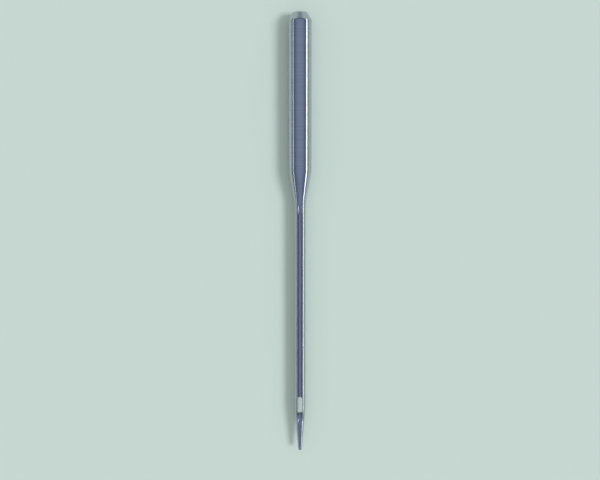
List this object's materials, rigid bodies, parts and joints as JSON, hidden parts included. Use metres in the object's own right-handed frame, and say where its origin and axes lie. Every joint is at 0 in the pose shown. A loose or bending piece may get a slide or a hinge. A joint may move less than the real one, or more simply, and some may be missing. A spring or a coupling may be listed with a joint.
{
  "type": "sewing machine needle",
  "caption": "Round-shank industrial sewing machine needle with chamfered butt, tapered shoulder, grooved blade, scarf, rounded eye and medium ball point",
  "frame": {"origin": "centre of the flat butt face, on the needle's axis", "axes": "+Y along the needle, out of the butt; the point lies along -Y; +Z out of the long groove at the front of the blade; -Z out of the scarf"},
  "size_m": [0.002, 0.0389, 0.002],
  "materials": {
    "plated_steel": "bright plated steel, finely ground round the shank and polished along the blade"
  },
  "bodies": {
    "root": {"needle": "plated_steel"}
  },
  "joints": []
}
